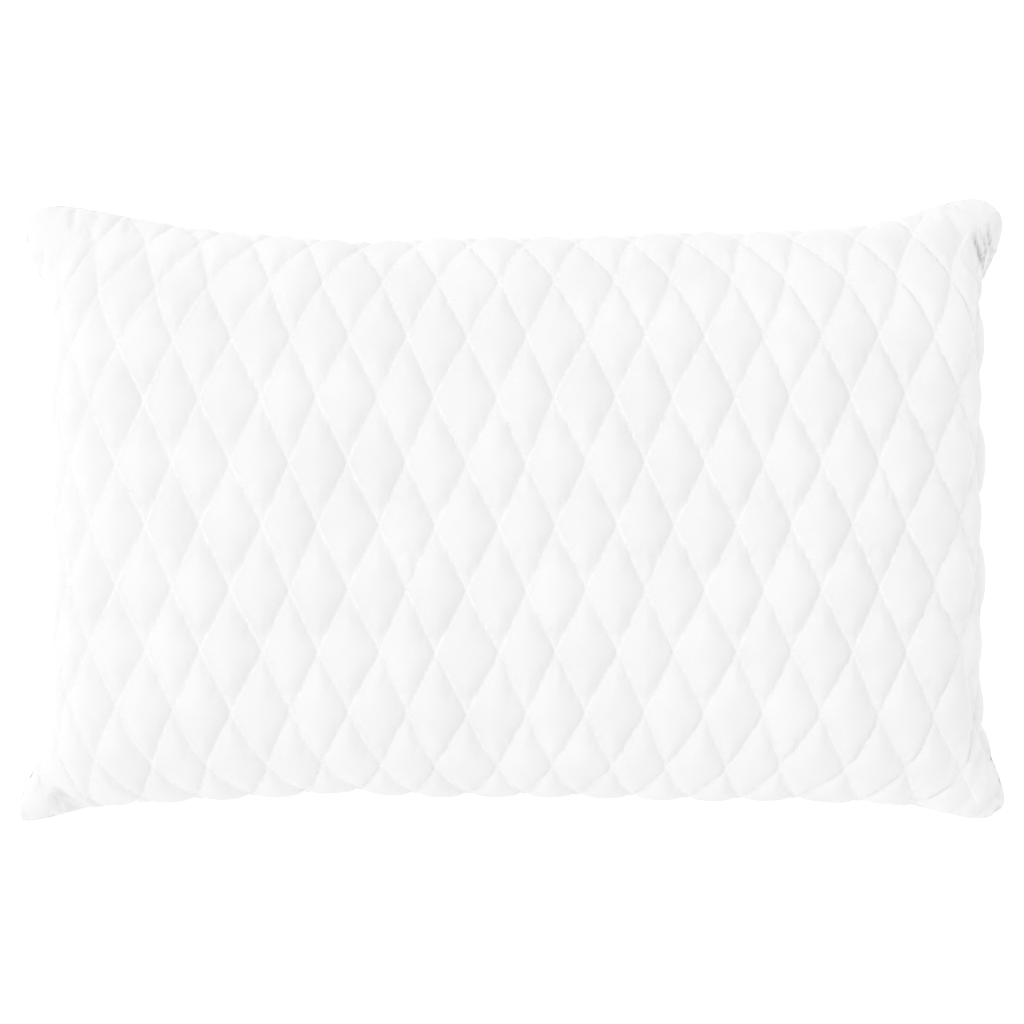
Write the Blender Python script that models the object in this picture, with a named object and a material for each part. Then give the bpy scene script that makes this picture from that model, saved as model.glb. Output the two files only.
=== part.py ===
"""A quilted bed pillow lying flat. Metres, +X along its long side, +Y across it, +Z up.

Every layer of the cover, the inner case and the filling is the same crowned, dog-eared form,
each one drawn in a little from the layer outside it. A zip closes the +X side.
"""

import math

import bpy
from mathutils import Matrix, Vector

# Seam outline seen from above
SEAM_HALF_LENGTH = 0.2770  # centre to seam at the middle of a short side
SEAM_HALF_WIDTH = 0.1635  # centre to seam at the middle of a long side
EAR_REACH_X = 0.0320  # how far an ear runs out past the short sides
EAR_REACH_Y = 0.0360  # the same past the long sides
EAR_START = 0.5  # share of the half side at which the flare begins
EAR_POWER = 2.2
CORNER_CUT = 0.0100  # what rounding takes off each ear along X and along Y
CORNER_POWER = 9
EAR_DROOP = 0.010  # how far the seam sinks at an ear
DROOP_POWER = 6

# Heights and the form of the panels
SEAM_HEIGHT = 0.060
TOP_RISE = 0.090
BOTTOM_DROP = 0.078  # before the ground flattens it
PANEL_POWER = 2 / 3  # how squarely a panel turns over towards the seam
SIDE_BULGE = 0.010  # fullness of the panel just inside the seam
BULGE_START = 0.55
ROWS_X = (0.0, 0.125, 0.25, 0.375, 0.5, 0.625, 0.75, 0.875, 1.0)  # centre to seam
ROWS_Y = (0.0, 0.167, 0.333, 0.39, 0.5, 0.667, 0.833, 1.0)

STEPS_X, STEPS_Y = len(ROWS_X) - 1, len(ROWS_Y) - 1

# Depth of each layer's two faces below the outside of the cover
FABRIC_DEPTHS = (0.0, 0.0010)
WADDING_DEPTHS = (0.0013, 0.0053)
BACKING_DEPTHS = (0.0056, 0.0062)
CASE_DEPTHS = (0.0085, 0.0091)
FILL_DEPTH = 0.0095
SEAM_GAP = 0.0003  # half of the gap between the upper and lower edge of a layer
THREAD_RADIUS = 0.00035
THREAD_CLEARANCE = 0.0004

# Zip in the middle of the +X side: edges of the cover stand clear of it
ZIP_ROWS = 2  # mesh rows each side of the middle that the opening takes up
FABRIC_OPENING = 0.0055  # half height left open by the fabric
WADDING_OPENING = 0.0110  # half height left open by the layers behind it
ZIP_X = SEAM_HALF_LENGTH - 0.0025
TAPE_HALF_LENGTH = 0.121
TAPE_THICKNESS = 0.0006
TAPE_INNER, TAPE_OUTER = 0.0031, 0.0096  # edges of a tape above or below the zip's middle
COIL_INNER, COIL_OUTER = 0.0006, 0.0028
COIL_HALF_THICKNESS = 0.0012
COIL_SIDES = 8
COIL_ENDS = (-0.108, 0.102)
TOP_STOP_Y = 0.1045
BOTTOM_STOP_Y = -0.1105
STOP_LENGTH = 0.0030

# Slider, about its middle on the zip
SLIDER_Y = 0.0965
SLIDER_HALF_LENGTH = 0.0055
SLIDER_HALF_WIDTH = 0.0044
PLATE_INNER, PLATE_OUTER = 0.0016, 0.0026
FLANGE_INNER = 0.0036
TAPE_SLOT = 0.0007
DIVIDER_HALF_THICKNESS = 0.0003
DIVIDER_LENGTH = 0.0030
CROWN_HALF_LENGTH = 0.0034
CROWN_HALF_WIDTH = 0.0010
CROWN_LEG = 0.0010
CROWN_HEIGHT = 0.0026
CROWN_THICKNESS = 0.0007

# Pull, about its hinge line
HINGE_HEIGHT = 0.0011  # above the slider's front plate
PULL_BAR_HALF = 0.0005
PULL_ARM_INNER, PULL_ARM_OUTER = 0.0015, 0.0030
PULL_SLOT_END = 0.0052
PULL_LENGTH = 0.0235
PULL_HALF_WIDTH = 0.0034
PULL_HOLE = (0.0150, 0.0200, 0.0018)  # start, end and half width of the hole at its tip
PULL_SLOPE = 0.0020  # how quickly it widens past the slot

# Care label, sewn into the seam of the -X side and hanging over the lower panel
LABEL_Y = (-0.056, -0.030)
LABEL_STAND_OFF = 0.0011
LABEL_THICKNESS = 0.0004
LABEL_SHARE = 0.6  # how far down the second row of the panel it reaches


def clear_scene():
    for thing in list(bpy.data.objects):
        bpy.data.objects.remove(thing)


def cloth_material(name, colour, roughness):
    material = bpy.data.materials.new(name)
    material.use_nodes = True
    shader = material.node_tree.nodes["Principled BSDF"]
    shader.inputs["Base Color"].default_value = (*colour, 1)
    shader.inputs["Roughness"].default_value = roughness
    shader.inputs["Sheen Weight"].default_value = 0.2
    return material


def hard_material(name, colour, roughness, metallic):
    material = bpy.data.materials.new(name)
    material.use_nodes = True
    shader = material.node_tree.nodes["Principled BSDF"]
    shader.inputs["Base Color"].default_value = (*colour, 1)
    shader.inputs["Roughness"].default_value = roughness
    shader.inputs["Metallic"].default_value = metallic
    return material


def add_node(name, points, faces, material, smooth):
    """One closed mesh as a named object."""
    mesh = bpy.data.meshes.new(name)
    mesh.from_pydata(points, [], faces)
    mesh.materials.append(material)
    mesh.polygons.foreach_set("use_smooth", [smooth] * len(mesh.polygons))
    mesh.validate()
    node = bpy.data.objects.new(name, mesh)
    bpy.context.scene.collection.objects.link(node)
    return node


def panel_profile(share):
    """(reach, height) as shares, from the crown at 0 to the seam at 1."""
    angle = abs(share) * math.pi / 2
    reach = math.copysign(math.sin(angle) ** PANEL_POWER, share)
    height = 0.0 if abs(share) == 1 else math.cos(angle)
    return reach, height


def bulge(share):
    past = max(0.0, (abs(share) - BULGE_START) / (1 - BULGE_START))
    return math.copysign(SIDE_BULGE * math.sin(math.pi * past), share)


def flare(reach):
    return max(0.0, (abs(reach) - EAR_START) / (1 - EAR_START)) ** EAR_POWER


def seam_height(x, y):
    """Height of the seam plane, which sinks towards the ears alike for every layer."""
    along = abs(x) / (SEAM_HALF_LENGTH + EAR_REACH_X)
    across = abs(y) / (SEAM_HALF_WIDTH + EAR_REACH_Y)
    return SEAM_HEIGHT - EAR_DROOP * (along * across) ** DROOP_POWER


def form_point(i, j, depth, upper):
    """The point of mesh row i, j on the closed form this deep under the outside."""
    share_x = math.copysign(ROWS_X[abs(i)], i)
    share_y = math.copysign(ROWS_Y[abs(j)], j)
    reach_x, height_x = panel_profile(share_x)
    reach_y, height_y = panel_profile(share_y)
    half_x = SEAM_HALF_LENGTH + EAR_REACH_X * flare(reach_y) - depth
    half_y = SEAM_HALF_WIDTH + EAR_REACH_Y * flare(reach_x) - depth
    cut = CORNER_CUT * abs(reach_x * reach_y) ** CORNER_POWER
    x = half_x * reach_x + bulge(share_x) * height_y - math.copysign(cut, i)
    y = half_y * reach_y + bulge(share_y) * height_x - math.copysign(cut, j)
    seam = seam_height(x, y)
    if upper:
        rise = (TOP_RISE - SEAM_GAP - depth) * height_x * height_y
        return x, y, seam + SEAM_GAP + rise
    drop = (BOTTOM_DROP - SEAM_GAP - depth) * height_x * height_y
    return x, y, max(depth, seam - SEAM_GAP - drop)


def panel_point(i, j, depth, upper, opening):
    """The same point, but on the zip's stretch the edge is drawn back to leave the opening."""
    edge = form_point(i, j, depth, upper)
    if i < STEPS_X or abs(j) > ZIP_ROWS:
        return edge
    inward = form_point(i - 1, j, depth, upper)
    share = (opening - SEAM_GAP) / abs(inward[2] - edge[2])
    return tuple(a + share * (b - a) for a, b in zip(edge, inward))


def panel_grid(depth, upper, opening):
    """Points of one panel face, row by row, and its quads facing up."""
    rows_i = range(-STEPS_X, STEPS_X + 1)
    rows_j = range(-STEPS_Y, STEPS_Y + 1)
    points = [panel_point(i, j, depth, upper, opening) for i in rows_i for j in rows_j]
    across = len(rows_j)
    quads = []
    for i in range(2 * STEPS_X):
        for j in range(2 * STEPS_Y):
            first = i * across + j
            quads.append((first, first + across, first + across + 1, first + 1))
    return points, quads


def rim_loop():
    """Indices of the points on a panel's edge, anticlockwise from above."""
    across, along = 2 * STEPS_Y + 1, 2 * STEPS_X + 1
    loop = [i * across for i in range(along)]
    loop += [(along - 1) * across + j for j in range(1, across)]
    loop += [i * across + across - 1 for i in range(along - 2, -1, -1)]
    loop += list(range(across - 2, 0, -1))
    return loop


def triangles(quads):
    """Quads split the same way in every layer, so that neighbouring layers stay parallel."""
    return [face for a, b, c, d in quads for face in ((a, b, c), (a, c, d))]


def add_layer(name, depths, upper, opening, material):
    """One panel of cloth: an outer and an inner face joined round the edge."""
    outer, quads = panel_grid(depths[0], upper, opening)
    inner, _ = panel_grid(depths[1], upper, opening)
    count = len(outer)
    faces = triangles(quads)
    under = [(a + count, c + count, b + count) for a, b, c in faces]
    loop = rim_loop()
    edge = []
    for here, after in zip(loop, loop[1:] + loop[:1]):
        edge.append((here, here + count, after + count))
        edge.append((here, after + count, after))
    faces = faces + under + edge
    if not upper:
        faces = [face[::-1] for face in faces]
    return add_node(name, outer + inner, faces, material, True)


def add_fill(name, material):
    """The filling: both faces of the form, joined along the seam."""
    upper, quads = panel_grid(FILL_DEPTH, True, SEAM_GAP)
    lower, _ = panel_grid(FILL_DEPTH, False, SEAM_GAP)
    count = len(upper)
    faces = triangles(quads)
    under = [(a + count, c + count, b + count) for a, b, c in faces]
    loop = rim_loop()
    edge = []
    for here, after in zip(loop, loop[1:] + loop[:1]):
        edge.append((here, here + count, after + count))
        edge.append((here, after + count, after))
    return add_node(name, upper + lower, faces + under + edge, material, True)


def add_cover(material_fabric, material_wadding, material_backing, material_case):
    for side, upper in (("top", True), ("bottom", False)):
        add_layer(f"cover_{side}_fabric", FABRIC_DEPTHS, upper, FABRIC_OPENING, material_fabric)
        add_layer(f"cover_{side}_wadding", WADDING_DEPTHS, upper, WADDING_OPENING, material_wadding)
        add_layer(f"cover_{side}_backing", BACKING_DEPTHS, upper, WADDING_OPENING, material_backing)
        add_layer(f"inner_case_{side}", CASE_DEPTHS, upper, SEAM_GAP, material_case)


def add_seam_thread(material):
    """Square-section thread in the groove of the seam, open along the zip."""
    points, _ = panel_grid(0.0, True, SEAM_GAP)
    loop = rim_loop()
    middle = loop.index(2 * STEPS_X * (2 * STEPS_Y + 1) + STEPS_Y)
    loop = loop[middle:] + loop[:middle]
    path = [points[k] for k in loop[ZIP_ROWS + 1 : -ZIP_ROWS]]
    rings = []
    for k, here in enumerate(path):
        before, after = path[max(k - 1, 0)], path[min(k + 1, len(path) - 1)]
        run_x, run_y = after[0] - before[0], after[1] - before[1]
        length = math.hypot(run_x, run_y)
        out_x, out_y = run_y / length, -run_x / length
        ring = []
        for step, rise in ((1, 0), (2, 1), (3, 0), (2, -1)):
            away = THREAD_CLEARANCE + (step - 1) * THREAD_RADIUS
            height = here[2] - SEAM_GAP + rise * THREAD_RADIUS
            ring.append((here[0] + out_x * away, here[1] + out_y * away, height))
        rings.append(ring)
    vertices = [point for ring in rings for point in ring]
    faces = [(3, 2, 1, 0)]
    for k in range(len(rings) - 1):
        for side in range(4):
            a, b = 4 * k + side, 4 * k + (side + 1) % 4
            faces.append((a, b, b + 4, a + 4))
    last = 4 * (len(rings) - 1)
    faces.append((last, last + 1, last + 2, last + 3))
    add_node("seam_thread", vertices, faces, material, False)


def box(low, high):
    """Points and outward quads of a box."""
    points = [(x, y, z) for x in (low[0], high[0]) for y in (low[1], high[1]) for z in (low[2], high[2])]
    faces = [(0, 1, 3, 2), (4, 6, 7, 5), (0, 4, 5, 1), (2, 3, 7, 6), (0, 2, 6, 4), (1, 5, 7, 3)]
    return points, faces


def add_box(name, low, high, material):
    points, faces = box(low, high)
    return add_node(name, points, faces, material, False)


def add_slab(name, outline, holes, low, high, material):
    """A flat piece with an outline in the Y-Z plane, between two values of X, less its holes."""
    count = len(outline)
    points = [(low, y, z) for y, z in outline] + [(high, y, z) for y, z in outline]
    sides = [(k, (k + 1) % count, (k + 1) % count + count, k + count) for k in range(count)]
    faces = sides + [tuple(range(count))[::-1], tuple(range(count, 2 * count))]
    node = add_node(name, points, faces, material, False)
    for number, (first, last) in enumerate(holes):
        cut_with(node, f"{name}_cut_{number}", first, last, "DIFFERENCE")
    return node


def cut_with(node, name, low, high, operation):
    """Cuts a box from a node or joins one to it."""
    points, faces = box(low, high)
    other = add_node(name, points, faces, node.data.materials[0], False)
    other.hide_render = True
    other.display_type = "WIRE"
    modifier = node.modifiers.new(name, "BOOLEAN")
    modifier.operation = operation
    modifier.solver = "EXACT"
    modifier.object = other


def add_zip_chain(material_tape, material_coil, material_stop):
    """Two tapes, the coil on the edge of each, and the stops at the ends."""
    for side, sign in (("upper", 1), ("lower", -1)):
        tape = sorted((SEAM_HEIGHT + sign * TAPE_INNER, SEAM_HEIGHT + sign * TAPE_OUTER))
        add_box(
            f"zip_tape_{side}",
            (ZIP_X - TAPE_THICKNESS / 2, -TAPE_HALF_LENGTH, tape[0]),
            (ZIP_X + TAPE_THICKNESS / 2, TAPE_HALF_LENGTH, tape[1]),
            material_tape,
        )
        coil = sorted((SEAM_HEIGHT + sign * COIL_INNER, SEAM_HEIGHT + sign * COIL_OUTER))
        add_coil(f"zip_coil_{side}", coil, material_coil)
        add_box(
            f"zip_top_stop_{side}",
            (ZIP_X - COIL_HALF_THICKNESS, TOP_STOP_Y, coil[0]),
            (ZIP_X + COIL_HALF_THICKNESS, TOP_STOP_Y + STOP_LENGTH, coil[1]),
            material_stop,
        )
    add_box(
        "zip_bottom_stop",
        (ZIP_X - COIL_HALF_THICKNESS, BOTTOM_STOP_Y - STOP_LENGTH / 2, SEAM_HEIGHT - COIL_OUTER),
        (ZIP_X + COIL_HALF_THICKNESS, BOTTOM_STOP_Y + STOP_LENGTH / 2, SEAM_HEIGHT + COIL_OUTER),
        material_stop,
    )


def add_coil(name, band, material):
    """The row of coil elements on one tape, as a bar of many-sided section."""
    middle = (band[0] + band[1]) / 2
    half = (band[1] - band[0]) / 2
    ring = []
    stretch = 1 / math.cos(math.pi / COIL_SIDES)
    for k in range(COIL_SIDES):
        angle = (k + 0.5) * 2 * math.pi / COIL_SIDES
        x = ZIP_X + COIL_HALF_THICKNESS * stretch * math.cos(angle)
        ring.append((x, middle + half * stretch * math.sin(angle)))
    points = [(x, y, z) for y in COIL_ENDS for x, z in ring]
    last = 2 * COIL_SIDES - 1
    faces = [tuple(range(COIL_SIDES)), tuple(range(last, last - COIL_SIDES, -1))]
    for k in range(COIL_SIDES):
        after = (k + 1) % COIL_SIDES
        faces.append((k + COIL_SIDES, after + COIL_SIDES, after, k))
    add_node(name, points, faces, material, False)


def put_origin(node, point):
    """Moves a node's origin to a world point and leaves its mesh where it is."""
    node.data.transform(Matrix.Translation(-Vector(point)))
    node.location = point


def add_slider(material):
    """Two plates with turned-in flanges, joined by the divider, and a crown for the pull."""
    low_y, high_y = SLIDER_Y - SLIDER_HALF_LENGTH, SLIDER_Y + SLIDER_HALF_LENGTH
    middle = SEAM_HEIGHT
    node = add_box(
        "zip_slider",
        (ZIP_X - PLATE_OUTER, low_y, middle - SLIDER_HALF_WIDTH),
        (ZIP_X + PLATE_OUTER, high_y, middle + SLIDER_HALF_WIDTH),
        material,
    )
    past = SLIDER_HALF_LENGTH / 2
    for sign, side in ((1, "upper"), (-1, "lower")):
        channel = sorted((middle + sign * DIVIDER_HALF_THICKNESS, middle + sign * FLANGE_INNER))
        cut_with(
            node,
            f"slider_channel_{side}",
            (ZIP_X - PLATE_INNER, low_y - past, channel[0]),
            (ZIP_X + PLATE_INNER, high_y + past, channel[1]),
            "DIFFERENCE",
        )
        slot = sorted((middle + sign * COIL_OUTER, middle + sign * 2 * SLIDER_HALF_WIDTH))
        cut_with(
            node,
            f"slider_slot_{side}",
            (ZIP_X - TAPE_SLOT, low_y - past, slot[0]),
            (ZIP_X + TAPE_SLOT, high_y + past, slot[1]),
            "DIFFERENCE",
        )
    cut_with(
        node,
        "slider_throat",
        (ZIP_X - PLATE_INNER, low_y - past, middle - COIL_OUTER),
        (ZIP_X + PLATE_INNER, high_y - DIVIDER_LENGTH, middle + COIL_OUTER),
        "DIFFERENCE",
    )
    front = ZIP_X + PLATE_OUTER
    cut_with(
        node,
        "slider_crown",
        (front - CROWN_THICKNESS, SLIDER_Y - CROWN_HALF_LENGTH, middle - CROWN_HALF_WIDTH),
        (front + CROWN_HEIGHT, SLIDER_Y + CROWN_HALF_LENGTH, middle + CROWN_HALF_WIDTH),
        "UNION",
    )
    cut_with(
        node,
        "slider_crown_gap",
        (front, SLIDER_Y - CROWN_HALF_LENGTH + CROWN_LEG, middle - 2 * CROWN_HALF_WIDTH),
        (
            front + CROWN_HEIGHT - CROWN_THICKNESS,
            SLIDER_Y + CROWN_HALF_LENGTH - CROWN_LEG,
            middle + 2 * CROWN_HALF_WIDTH,
        ),
        "DIFFERENCE",
    )
    put_origin(node, (ZIP_X, SLIDER_Y, SEAM_HEIGHT))
    return node


def add_pull(slider, material):
    """A flat tab with a slot that takes the crown and a hole near its tip, on a hinge along Z."""
    outline = [
        (PULL_BAR_HALF, -PULL_ARM_OUTER),
        (PULL_BAR_HALF, PULL_ARM_OUTER),
        (-PULL_SLOT_END, PULL_ARM_OUTER),
        (-PULL_SLOT_END - PULL_SLOPE, PULL_HALF_WIDTH),
        (-PULL_LENGTH + PULL_SLOPE, PULL_HALF_WIDTH),
        (-PULL_LENGTH, PULL_HALF_WIDTH - PULL_SLOPE),
        (-PULL_LENGTH, -PULL_HALF_WIDTH + PULL_SLOPE),
        (-PULL_LENGTH + PULL_SLOPE, -PULL_HALF_WIDTH),
        (-PULL_SLOT_END - PULL_SLOPE, -PULL_HALF_WIDTH),
        (-PULL_SLOT_END, -PULL_ARM_OUTER),
    ]
    start, end, half = PULL_HOLE
    past = PULL_BAR_HALF * 2
    slot = ((-past, -PULL_SLOT_END, -PULL_ARM_INNER), (past, -PULL_BAR_HALF, PULL_ARM_INNER))
    hole = ((-past, -end, -half), (past, -start, half))
    node = add_slab("zip_pull", outline, [slot, hole], -PULL_BAR_HALF, PULL_BAR_HALF, material)
    origin = bpy.data.objects.new("zip_pull_hinge", None)
    origin.location = (PLATE_OUTER + HINGE_HEIGHT, 0, 0)  # from the slider's origin
    bpy.context.scene.collection.objects.link(origin)
    node.parent = origin
    for modifier in node.modifiers:
        modifier.object.parent = origin
    origin.parent = slider
    return node


def add_label(material):
    """A strip that leaves the seam and follows the lower panel down."""
    rows = []
    for i in (STEPS_X, STEPS_X - 1, STEPS_X - 2):
        x, _, z = panel_point(-i, -1, 0.0, False, SEAM_GAP)
        rows.append((x - LABEL_STAND_OFF, z))
    last = tuple(
        rows[1][k] + LABEL_SHARE * (rows[2][k] - rows[1][k]) for k in range(2)
    )
    rows[2] = last
    points = []
    for x, z in rows:
        for y in LABEL_Y:
            points.append((x, y, z))
            points.append((x - LABEL_THICKNESS, y, z))
    faces = [(0, 2, 3, 1), (8, 9, 11, 10)]
    for k in (0, 4):
        faces.append((k, k + 4, k + 6, k + 2))
        faces.append((k + 1, k + 3, k + 7, k + 5))
        faces.append((k, k + 1, k + 5, k + 4))
        faces.append((k + 2, k + 6, k + 7, k + 3))
    return add_node("care_label", points, faces, material, False)


def build():
    clear_scene()
    fabric = cloth_material("knit_fabric", (0.93, 0.93, 0.93), 0.85)
    wadding = cloth_material("wadding", (0.95, 0.95, 0.95), 1.0)
    backing = cloth_material("backing", (0.88, 0.88, 0.88), 0.9)
    case = cloth_material("case_cloth", (0.92, 0.92, 0.91), 0.8)
    filling = cloth_material("fibre_filling", (0.96, 0.96, 0.96), 1.0)
    thread = cloth_material("thread", (0.94, 0.94, 0.94), 0.6)
    tape = cloth_material("zip_tape", (0.90, 0.90, 0.90), 0.8)
    label = cloth_material("label", (0.94, 0.94, 0.94), 0.6)
    coil = hard_material("coil_plastic", (0.88, 0.88, 0.88), 0.4, 0.0)
    stop = hard_material("stop_metal", (0.75, 0.75, 0.76), 0.35, 1.0)
    slider_metal = hard_material("slider_metal", (0.78, 0.78, 0.80), 0.3, 1.0)
    add_cover(fabric, wadding, backing, case)
    add_fill("fibre_fill", filling)
    add_seam_thread(thread)
    add_zip_chain(tape, coil, stop)
    slider = add_slider(slider_metal)
    add_pull(slider, slider_metal)
    add_label(label)


build()
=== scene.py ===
"""The looks of a quilted bed pillow, built round its CAD parts."""

import math

import bpy
import numpy as np
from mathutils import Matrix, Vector


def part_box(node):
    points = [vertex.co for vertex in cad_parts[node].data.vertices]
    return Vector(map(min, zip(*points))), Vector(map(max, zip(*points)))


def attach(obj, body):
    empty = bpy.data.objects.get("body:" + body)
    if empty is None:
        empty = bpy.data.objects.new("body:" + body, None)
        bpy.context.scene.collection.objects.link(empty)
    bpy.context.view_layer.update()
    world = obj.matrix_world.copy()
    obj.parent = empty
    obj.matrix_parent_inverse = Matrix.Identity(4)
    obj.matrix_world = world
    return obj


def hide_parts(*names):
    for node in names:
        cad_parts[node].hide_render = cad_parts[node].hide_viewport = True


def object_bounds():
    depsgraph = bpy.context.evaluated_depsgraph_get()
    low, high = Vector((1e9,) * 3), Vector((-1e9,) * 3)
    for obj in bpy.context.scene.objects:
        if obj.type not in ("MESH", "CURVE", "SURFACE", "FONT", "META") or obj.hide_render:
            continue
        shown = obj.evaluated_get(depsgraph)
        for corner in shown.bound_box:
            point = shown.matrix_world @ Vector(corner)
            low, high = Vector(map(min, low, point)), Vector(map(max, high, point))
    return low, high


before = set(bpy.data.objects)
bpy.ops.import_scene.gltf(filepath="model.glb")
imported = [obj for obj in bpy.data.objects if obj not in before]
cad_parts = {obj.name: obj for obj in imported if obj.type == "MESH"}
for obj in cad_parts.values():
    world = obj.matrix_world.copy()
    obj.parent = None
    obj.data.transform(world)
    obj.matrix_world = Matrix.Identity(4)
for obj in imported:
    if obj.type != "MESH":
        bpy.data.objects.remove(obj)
cad_low, cad_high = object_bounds()

MM = 0.001

# ---------------------------------------------------------------- places read from the CAD
slider_low, slider_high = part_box("zip_slider")
tape_low, tape_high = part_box("zip_tape_upper")
label_low, label_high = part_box("care_label")
TIP_X = cad_high.x
TIP_Y = cad_high.y
TOP = cad_high.z
SEAM = (slider_low.z + slider_high.z) / 2
ZIP_MID = (tape_low.y + tape_high.y) / 2
ZIP_HALF = (tape_high.y - tape_low.y) / 2 + 5 * MM  # the opening closes just past the tapes
ZIP_ENDS = ((ZIP_MID - ZIP_HALF) / TIP_Y, (ZIP_MID + ZIP_HALF) / TIP_Y)

# ---------------------------------------------------------------- the sewn form
SEAM_X = 276.4 * MM  # centre to seam at the middle of a short side
SEAM_Y = 163.5 * MM  # centre to seam at the middle of a long side
SHIFT_X = 2.2 * MM  # the waists sit a little off the middle of the four corners
SHIFT_Y = -4.3 * MM
RISE = TOP - SEAM
DROP = SEAM
PUFF = 4.6 * MM  # room left over the form for the quilting to swell
PITCH_U = 34.9 * MM  # width of a quilting diamond
PITCH_V = 74.6 * MM
START_U = -11.5 * MM
START_V = -5.2 * MM
OPENING = 5.5 * MM  # seam to the hem along the zip
# where the long sides sink or swell: place along x, side, width and depth, all in mm
DENTS = (
    (-90, 1, 32, 3),
    (-100, -1, 26, 3),
    (108, 1, 48, -3.2),
    (178, 1, 34, -2.4),
    (125, -1, 62, -2.8),
    (206, -1, 30, -2),
    (-222, -1, 58, -3),
)
UV_SPAN = 0.8  # metres of cloth across the unit square of the first UV map
LATTICE_SCALE = 64.0  # quilting lines across the unit square of the second UV map
CELLS = 11  # mesh cells along each side of a diamond before the subdivision
FRAMES = 12  # steps of the cloth simulation
TRAVEL = 6.5 * MM  # the farthest that it may move a point of the cloth
REST = 1.2 * MM  # the lowest cloth flattens within this height of the floor
CASE_CELLS = (72, 48)
CASE_SHARE = (0.966, 0.966, 0.92)  # of the cover's own form, about its middle and its seam
LABEL_LENGTH = 30 * MM
QUILT_LINE_PAINTED_LIGHT = (0.935, 0.935, 0.935)  # painted light: a lighter colour along the quilting lines that stands in for their lit edges and lifts the shade in the grooves
OUTWARD = {"+y": (0, 1, 0), "-y": (0, -1, 0), "+x": (1, 0, 0), "-x": (-1, 0, 0)}
AT_EDGE = 0.9999  # shares past this lie on the seam
PUCKER = 0.27 * MM  # height of the gathers across the quilting lines
GATHER = 0.9 * MM  # height of the gathers along the seam
DIAMOND_EDGE = math.hypot(PITCH_U, PITCH_V) / 2
LINE_GAP = PITCH_U * PITCH_V / math.hypot(PITCH_U, PITCH_V)
# how far each ear swells free of the quilting: -x-y, +x-y, -x+y, +x+y
EAR_FREE = (58 * MM, 31 * MM, 50 * MM, 42 * MM)
PLAIN_FROM = 240 * MM  # the cloth past this on the -X side is hardly quilted
PLAIN_SHARE = 0.8  # how much of the quilting is lost there
# start and end in the plan, depth, and the slopes' widths to its left and right, all in mm
FOLDS = (
    (-277, -170.8, -254.4, -184.6, 12, 1.6, 7.5),
    (279.5, 167, 289, 136, 7.5, 3.0, 2.2),
    (295.5, 176, 288, 142, 9, 30, 3.4),
    (288.5, 171, 292.5, 149, 10.5, 2.8, 2.4),
    (290.3, -149.4, 296.2, -171.4, 7, 14, 2.4),
    (296.8, -160, 288.3, -183.7, 7, 14, 2.4),
    (293.9, -173.1, 280.3, -191.7, 7, 14, 2.4),
    (-268, 186, -267, 170, 4, 1.6, 2.0),
    (-256, 183, -251, 178, 3, 1.4, 1.6),
    (-235, 178, -232, 166, 4, 1.4, 2.0),
)


class Section:
    """A crowned section from the middle of a panel to its seam, known by its share of arc."""

    def __init__(self, half, bulge, rise, shoulder, n, m):
        turn = np.linspace(0, np.pi / 2, 900)
        x = (half + bulge) * np.sin(turn) ** (2 / n)
        z = shoulder + (rise - shoulder) * np.cos(turn) ** (2 / m)
        low = np.linspace(0, np.pi / 2, 200)[1:]
        x = np.r_[x, half + bulge * np.cos(low)]
        z = np.r_[z, shoulder * (1 - np.sin(low))]
        z[-1] = 0
        arc = np.r_[0, np.cumsum(np.hypot(np.diff(x), np.diff(z)))]
        self.length = arc[-1]
        self.arc, self.x, self.h = arc / arc[-1], x, z / rise

    def at(self, share):
        a = np.abs(share)
        return np.sign(share) * np.interp(a, self.arc, self.x), np.interp(a, self.arc, self.h)


TOP_X = Section(SEAM_X, 2.0 * MM, RISE - PUFF, 13 * MM, 3.2, 3.0)
TOP_Y = Section(SEAM_Y, 3.0 * MM, RISE - PUFF, 12 * MM, 3.4, 2.0)
LOW_X = Section(SEAM_X, 2.4 * MM, DROP - PUFF, 14 * MM, 4.5, 2.6)
LOW_Y = Section(SEAM_Y, 3.4 * MM, DROP - PUFF, 14 * MM, 4.0, 2.4)
HALF_U = TOP_X.length
HALF_V = TOP_Y.length


def smooth(x):
    x = np.clip(x, 0, 1)
    return x * x * (3 - 2 * x)


def waves(x, seed, lengths):
    """A sum of sines of these wavelengths, with seeded phases, between about -1 and 1."""
    draw = np.random.default_rng(seed)
    total = 0
    for length in lengths:
        total = total + np.sin(2 * np.pi * x / length + draw.uniform(0, 2 * np.pi))
    return total / len(lengths)


def zip_share(t):
    """How fully the zip's opening parts the seam of the +X side at this share of its half."""
    past = np.abs(t * TIP_Y - ZIP_MID) - ZIP_HALF
    return 1 - smooth(1 + past / (7 * MM))


def corner(s, t, values):
    """A value that turns smoothly from one corner to the next: -x-y, +x-y, -x+y, +x+y."""
    a, b = smooth((s + 1) / 2), smooth((t + 1) / 2)
    return (
        values[0] * (1 - a) * (1 - b)
        + values[1] * a * (1 - b)
        + values[2] * (1 - a) * b
        + values[3] * a * b
    )


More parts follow.
